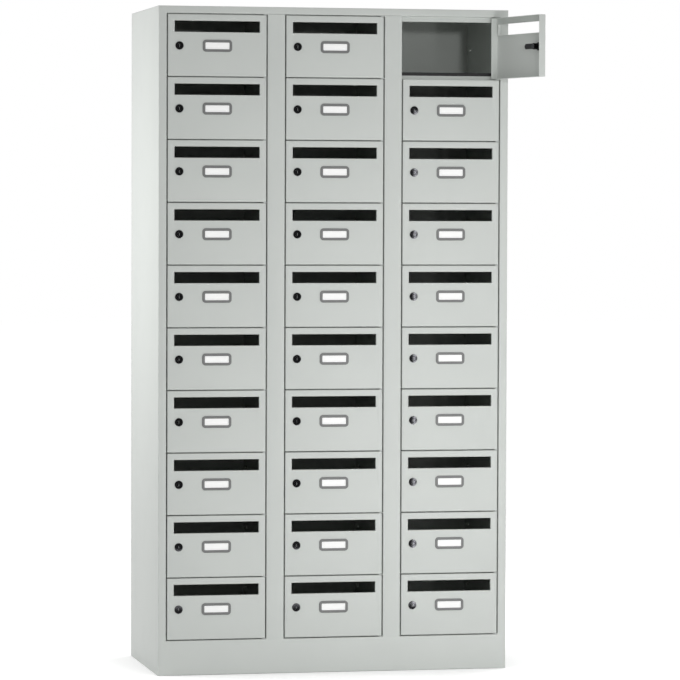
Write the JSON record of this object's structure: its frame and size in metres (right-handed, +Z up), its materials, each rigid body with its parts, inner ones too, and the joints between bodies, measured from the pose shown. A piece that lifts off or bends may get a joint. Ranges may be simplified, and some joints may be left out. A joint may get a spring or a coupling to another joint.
{
  "type": "mail distribution cabinet",
  "caption": "Tall folded-steel mail distribution cabinet: a grid of lockable hinged doors, each with a wide mail slot, a cam lock and a label holder, over shelf compartments.",
  "frame": {"origin": "on the floor at half the cabinet's width, in the middle of the foot flange under the front plinth", "axes": "+X to the right as seen from the front, +Y from the doors to the back, +Z up"},
  "size_m": [1.0307, 0.7415, 1.85],
  "materials": {
    "body_paint": "light grey powder coat, satin",
    "lock_metal": "black plated metal, glossy",
    "label_frame": "dark grey plastic",
    "label_card": "plain white card"
  },
  "bodies": {
    "cabinet": {"left_side_panel": "body_paint", "right_side_panel": "body_paint", "back_panel": "body_paint", "top_panel": "body_paint", "plinth_front": "body_paint", "floor_panel": "body_paint", "left_post": "body_paint", "right_post": "body_paint", "left_partition": "body_paint", "right_partition": "body_paint", "left_shelf_rack": "body_paint", "middle_shelf_rack": "body_paint", "right_shelf_rack": "body_paint"},
    "left_door_01": {"left_door_01": "body_paint"},
    "left_door_02": {"left_door_02": "body_paint"},
    "left_door_03": {"left_door_03": "body_paint"},
    "left_door_04": {"left_door_04": "body_paint"},
    "left_door_05": {"left_door_05": "body_paint"},
    "left_door_06": {"left_door_06": "body_paint"},
    "left_door_07": {"left_door_07": "body_paint"},
    "left_door_08": {"left_door_08": "body_paint"},
    "left_door_09": {"left_door_09": "body_paint"},
    "left_door_10": {"left_door_10": "body_paint"},
    "middle_door_01": {"middle_door_01": "body_paint"},
    "middle_door_02": {"middle_door_02": "body_paint"},
    "middle_door_03": {"middle_door_03": "body_paint"},
    "middle_door_04": {"middle_door_04": "body_paint"},
    "middle_door_05": {"middle_door_05": "body_paint"},
    "middle_door_06": {"middle_door_06": "body_paint"},
    "middle_door_07": {"middle_door_07": "body_paint"},
    "middle_door_08": {"middle_door_08": "body_paint"},
    "middle_door_09": {"middle_door_09": "body_paint"},
    "middle_door_10": {"middle_door_10": "body_paint"},
    "right_door_01": {"right_door_01": "body_paint", "right_label_holder_01": "label_frame", "right_label_card_01": "label_card", "right_lock_barrel_01": "lock_metal", "right_lock_nut_01": "lock_metal"},
    "right_lock_01": {"right_lock_cam_01": "lock_metal"},
    "right_door_02": {"right_door_02": "body_paint"},
    "right_lock_02": {"right_lock_cam_02": "lock_metal"},
    "right_door_03": {"right_door_03": "body_paint"},
    "right_lock_03": {"right_lock_cam_03": "lock_metal"},
    "right_door_04": {"right_door_04": "body_paint"},
    "right_lock_04": {"right_lock_cam_04": "lock_metal"},
    "right_door_05": {"right_door_05": "body_paint"},
    "right_lock_05": {"right_lock_cam_05": "lock_metal"},
    "right_door_06": {"right_door_06": "body_paint"},
    "right_lock_06": {"right_lock_cam_06": "lock_metal"},
    "right_door_07": {"right_door_07": "body_paint"},
    "right_lock_07": {"right_lock_cam_07": "lock_metal"},
    "right_door_08": {"right_door_08": "body_paint"},
    "right_lock_08": {"right_lock_cam_08": "lock_metal"},
    "right_door_09": {"right_door_09": "body_paint"},
    "right_lock_09": {"right_lock_cam_09": "lock_metal"},
    "right_door_10": {"right_door_10": "body_paint"},
    "right_lock_10": {"right_lock_cam_10": "lock_metal"}
  },
  "joints": [
    {"name": "left_door_01_hinge", "type": "hinge", "parent": "cabinet", "child": "left_door_01", "pos_m": [-0.19954, -0.015, 1.74195], "axis": [0, 0, 1], "range_deg": [0, 110]},
    {"name": "left_door_02_hinge", "type": "hinge", "parent": "cabinet", "child": "left_door_02", "pos_m": [-0.19954, -0.015, 1.56885], "axis": [0, 0, 1], "range_deg": [0, 110]},
    {"name": "left_door_03_hinge", "type": "hinge", "parent": "cabinet", "child": "left_door_03", "pos_m": [-0.19954, -0.015, 1.39575], "axis": [0, 0, 1], "range_deg": [0, 110]},
    {"name": "left_door_04_hinge", "type": "hinge", "parent": "cabinet", "child": "left_door_04", "pos_m": [-0.19954, -0.015, 1.22265], "axis": [0, 0, 1], "range_deg": [0, 110]},
    {"name": "left_door_05_hinge", "type": "hinge", "parent": "cabinet", "child": "left_door_05", "pos_m": [-0.19954, -0.015, 1.04955], "axis": [0, 0, 1], "range_deg": [0, 110]},
    {"name": "left_door_06_hinge", "type": "hinge", "parent": "cabinet", "child": "left_door_06", "pos_m": [-0.19954, -0.015, 0.87645], "axis": [0, 0, 1], "range_deg": [0, 110]},
    {"name": "left_door_07_hinge", "type": "hinge", "parent": "cabinet", "child": "left_door_07", "pos_m": [-0.19954, -0.015, 0.70335], "axis": [0, 0, 1], "range_deg": [0, 110]},
    {"name": "left_door_08_hinge", "type": "hinge", "parent": "cabinet", "child": "left_door_08", "pos_m": [-0.19954, -0.015, 0.53025], "axis": [0, 0, 1], "range_deg": [0, 110]},
    {"name": "left_door_09_hinge", "type": "hinge", "parent": "cabinet", "child": "left_door_09", "pos_m": [-0.19954, -0.015, 0.35715], "axis": [0, 0, 1], "range_deg": [0, 110]},
    {"name": "left_door_10_hinge", "type": "hinge", "parent": "cabinet", "child": "left_door_10", "pos_m": [-0.19954, -0.015, 0.18405], "axis": [0, 0, 1], "range_deg": [0, 110]},
    {"name": "middle_door_01_hinge", "type": "hinge", "parent": "cabinet", "child": "middle_door_01", "pos_m": [0.13246, -0.015, 1.74195], "axis": [0, 0, 1], "range_deg": [0, 110]},
    {"name": "middle_door_02_hinge", "type": "hinge", "parent": "cabinet", "child": "middle_door_02", "pos_m": [0.13246, -0.015, 1.56885], "axis": [0, 0, 1], "range_deg": [0, 110]},
    {"name": "middle_door_03_hinge", "type": "hinge", "parent": "cabinet", "child": "middle_door_03", "pos_m": [0.13246, -0.015, 1.39575], "axis": [0, 0, 1], "range_deg": [0, 110]},
    {"name": "middle_door_04_hinge", "type": "hinge", "parent": "cabinet", "child": "middle_door_04", "pos_m": [0.13246, -0.015, 1.22265], "axis": [0, 0, 1], "range_deg": [0, 110]},
    {"name": "middle_door_05_hinge", "type": "hinge", "parent": "cabinet", "child": "middle_door_05", "pos_m": [0.13246, -0.015, 1.04955], "axis": [0, 0, 1], "range_deg": [0, 110]},
    {"name": "middle_door_06_hinge", "type": "hinge", "parent": "cabinet", "child": "middle_door_06", "pos_m": [0.13246, -0.015, 0.87645], "axis": [0, 0, 1], "range_deg": [0, 110]},
    {"name": "middle_door_07_hinge", "type": "hinge", "parent": "cabinet", "child": "middle_door_07", "pos_m": [0.13246, -0.015, 0.70335], "axis": [0, 0, 1], "range_deg": [0, 110]},
    {"name": "middle_door_08_hinge", "type": "hinge", "parent": "cabinet", "child": "middle_door_08", "pos_m": [0.13246, -0.015, 0.53025], "axis": [0, 0, 1], "range_deg": [0, 110]},
    {"name": "middle_door_09_hinge", "type": "hinge", "parent": "cabinet", "child": "middle_door_09", "pos_m": [0.13246, -0.015, 0.35715], "axis": [0, 0, 1], "range_deg": [0, 110]},
    {"name": "middle_door_10_hinge", "type": "hinge", "parent": "cabinet", "child": "middle_door_10", "pos_m": [0.13246, -0.015, 0.18405], "axis": [0, 0, 1], "range_deg": [0, 110]},
    {"name": "right_door_01_hinge", "type": "hinge", "parent": "cabinet", "child": "right_door_01", "pos_m": [0.46446, -0.015, 1.74195], "axis": [0, 0, 1], "range_deg": [-104, 6]},
    {"name": "right_lock_01_turn", "type": "hinge", "parent": "right_door_01", "child": "right_lock_01", "pos_m": [0.52214, -0.24637, 1.7407], "axis": [-0.9703, -0.2419, 0], "range_deg": [0, 180]},
    {"name": "right_door_02_hinge", "type": "hinge", "parent": "cabinet", "child": "right_door_02", "pos_m": [0.46446, -0.015, 1.56885], "axis": [0, 0, 1], "range_deg": [0, 110]},
    {"name": "right_lock_02_turn", "type": "hinge", "parent": "right_door_02", "child": "right_lock_02", "pos_m": [0.226, -0.015, 1.5676], "axis": [0, 1, 0], "range_deg": [0, 180]},
    {"name": "right_door_03_hinge", "type": "hinge", "parent": "cabinet", "child": "right_door_03", "pos_m": [0.46446, -0.015, 1.39575], "axis": [0, 0, 1], "range_deg": [0, 110]},
    {"name": "right_lock_03_turn", "type": "hinge", "parent": "right_door_03", "child": "right_lock_03", "pos_m": [0.226, -0.015, 1.3945], "axis": [0, 1, 0], "range_deg": [0, 180]},
    {"name": "right_door_04_hinge", "type": "hinge", "parent": "cabinet", "child": "right_door_04", "pos_m": [0.46446, -0.015, 1.22265], "axis": [0, 0, 1], "range_deg": [0, 110]},
    {"name": "right_lock_04_turn", "type": "hinge", "parent": "right_door_04", "child": "right_lock_04", "pos_m": [0.226, -0.015, 1.2214], "axis": [0, 1, 0], "range_deg": [0, 180]},
    {"name": "right_door_05_hinge", "type": "hinge", "parent": "cabinet", "child": "right_door_05", "pos_m": [0.46446, -0.015, 1.04955], "axis": [0, 0, 1], "range_deg": [0, 110]},
    {"name": "right_lock_05_turn", "type": "hinge", "parent": "right_door_05", "child": "right_lock_05", "pos_m": [0.226, -0.015, 1.0483], "axis": [0, 1, 0], "range_deg": [0, 180]},
    {"name": "right_door_06_hinge", "type": "hinge", "parent": "cabinet", "child": "right_door_06", "pos_m": [0.46446, -0.015, 0.87645], "axis": [0, 0, 1], "range_deg": [0, 110]},
    {"name": "right_lock_06_turn", "type": "hinge", "parent": "right_door_06", "child": "right_lock_06", "pos_m": [0.226, -0.015, 0.8752], "axis": [0, 1, 0], "range_deg": [0, 180]},
    {"name": "right_door_07_hinge", "type": "hinge", "parent": "cabinet", "child": "right_door_07", "pos_m": [0.46446, -0.015, 0.70335], "axis": [0, 0, 1], "range_deg": [0, 110]},
    {"name": "right_lock_07_turn", "type": "hinge", "parent": "right_door_07", "child": "right_lock_07", "pos_m": [0.226, -0.015, 0.7021], "axis": [0, 1, 0], "range_deg": [0, 180]},
    {"name": "right_door_08_hinge", "type": "hinge", "parent": "cabinet", "child": "right_door_08", "pos_m": [0.46446, -0.015, 0.53025], "axis": [0, 0, 1], "range_deg": [0, 110]},
    {"name": "right_lock_08_turn", "type": "hinge", "parent": "right_door_08", "child": "right_lock_08", "pos_m": [0.226, -0.015, 0.529], "axis": [0, 1, 0], "range_deg": [0, 180]},
    {"name": "right_door_09_hinge", "type": "hinge", "parent": "cabinet", "child": "right_door_09", "pos_m": [0.46446, -0.015, 0.35715], "axis": [0, 0, 1], "range_deg": [0, 110]},
    {"name": "right_lock_09_turn", "type": "hinge", "parent": "right_door_09", "child": "right_lock_09", "pos_m": [0.226, -0.015, 0.3559], "axis": [0, 1, 0], "range_deg": [0, 180]},
    {"name": "right_door_10_hinge", "type": "hinge", "parent": "cabinet", "child": "right_door_10", "pos_m": [0.46446, -0.015, 0.18405], "axis": [0, 0, 1], "range_deg": [0, 110]},
    {"name": "right_lock_10_turn", "type": "hinge", "parent": "right_door_10", "child": "right_lock_10", "pos_m": [0.226, -0.015, 0.1828], "axis": [0, 1, 0], "range_deg": [0, 180]}
  ]
}
